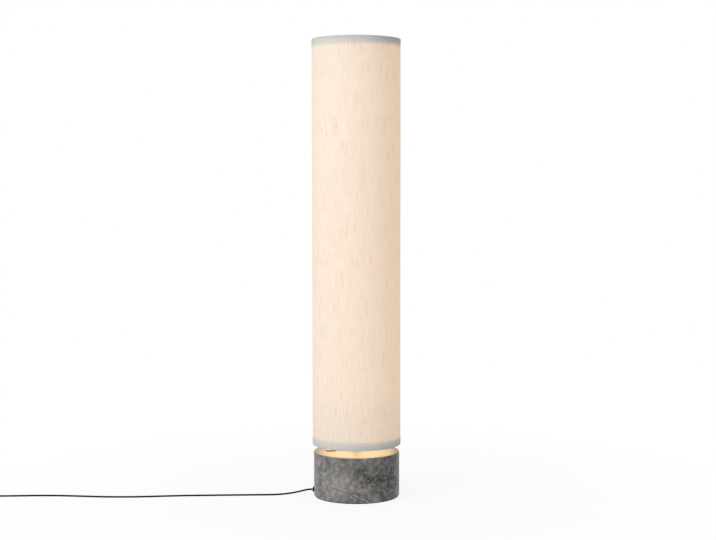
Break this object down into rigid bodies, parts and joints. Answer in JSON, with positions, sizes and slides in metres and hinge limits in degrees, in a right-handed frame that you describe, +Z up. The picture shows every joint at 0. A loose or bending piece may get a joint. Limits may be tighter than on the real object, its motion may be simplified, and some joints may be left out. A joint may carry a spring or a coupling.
{
  "type": "floor lamp",
  "caption": "Column floor lamp: a tall fabric drum shade over a lit core, on a round stone base with a dimmer button and a mains cord.",
  "frame": {"origin": "on the floor, under the centre of the round base", "axes": "+Z up along the column; the mains cord and the dimmer button are on the -X side; the shade's seam is on the +Y side"},
  "size_m": [1.2435, 0.233, 1.2],
  "materials": {
    "stone": "honed grey stone with mottling and a pale vein",
    "felt": "pressed felt",
    "zinc_steel": "zinc plated sheet",
    "screw_steel": "plain steel",
    "brass": "turned",
    "cord_black": "matt black sheath",
    "rubber_black": "moulded",
    "plug_black": "moulded, finely textured",
    "pin_nickel": "nickel plated",
    "tie_black": "strap",
    "driver_case": "moulded, off-white",
    "nylon_white": "moulded nylon",
    "core_insulation": "core insulation",
    "lead_white": "white lead",
    "button_bronze": "dark bronze lacquer",
    "switch_plastic": "moulded",
    "spine_steel": "pale powder coat",
    "carrier_aluminium": "satin",
    "profile_aluminium": "extruded",
    "opal": "opal diffuser",
    "board_white": "white circuit board",
    "led": "LED package",
    "linen": "natural linen weave",
    "liner": "translucent film",
    "frame_white": "white powder coat",
    "edge_tape": "light grey woven tape"
  },
  "bodies": {
    "lamp": {"stone_base": "stone", "foot_ring": "felt", "base_plate": "zinc_steel", "switch_bracket": "zinc_steel", "spine_washer": "zinc_steel", "cap_washer": "zinc_steel", "base_plate_screws": "screw_steel", "plate_mounted_screws": "screw_steel", "terminal_screws": "screw_steel", "spine_nut": "screw_steel", "button_spring": "screw_steel", "threaded_inserts": "brass", "button_bush": "brass", "button_nut": "brass", "power_cord": "cord_black", "cord_coil": "cord_black", "cord_lead_out": "cord_black", "cord_inside_base": "cord_black", "cord_grommet": "rubber_black", "plug_strain_relief": "rubber_black", "plug_body": "plug_black", "plug_pins": "pin_nickel", "cord_tie": "tie_black", "led_driver": "driver_case", "cord_saddle": "nylon_white", "terminal_block": "nylon_white", "led_connector": "nylon_white", "mains_cores": "core_insulation", "driver_cores": "core_insulation", "led_lead": "lead_white", "switch_lead": "lead_white", "switch_box": "switch_plastic", "spine_tube": "spine_steel", "spacer_sleeve": "spine_steel", "spine_collar": "spine_steel", "cap_nut": "spine_steel", "shade_carrier": "carrier_aluminium", "column_cap": "carrier_aluminium", "heat_sink_profile": "profile_aluminium", "diffuser_tube": "opal", "led_strip_1": "board_white", "led_strip_2": "board_white", "led_strip_3": "board_white", "led_strip_4": "board_white", "led_ring_board": "board_white", "led_chips": "led"},
    "dimmer_button": {"button_cap": "button_bronze", "button_clip": "zinc_steel", "switch_plunger": "switch_plastic"},
    "shade": {"shade_cloth": "linen", "shade_liner": "liner", "lower_ring_frame": "frame_white", "upper_ring_frame": "frame_white", "lower_edge_tape": "edge_tape", "upper_edge_tape": "edge_tape"}
  },
  "joints": [
    {"name": "button_press", "type": "slide", "parent": "lamp", "child": "dimmer_button", "axis": [0, 0, -1], "range_m": [0, 0.0012], "stiffness_N_per_m": 800, "springref_m": -0.0015, "deforming": ["button_spring"]},
    {"name": "shade_lift", "type": "slide", "parent": "lamp", "child": "shade", "axis": [0, 0, 1], "range_m": [0, 1.04]}
  ]
}
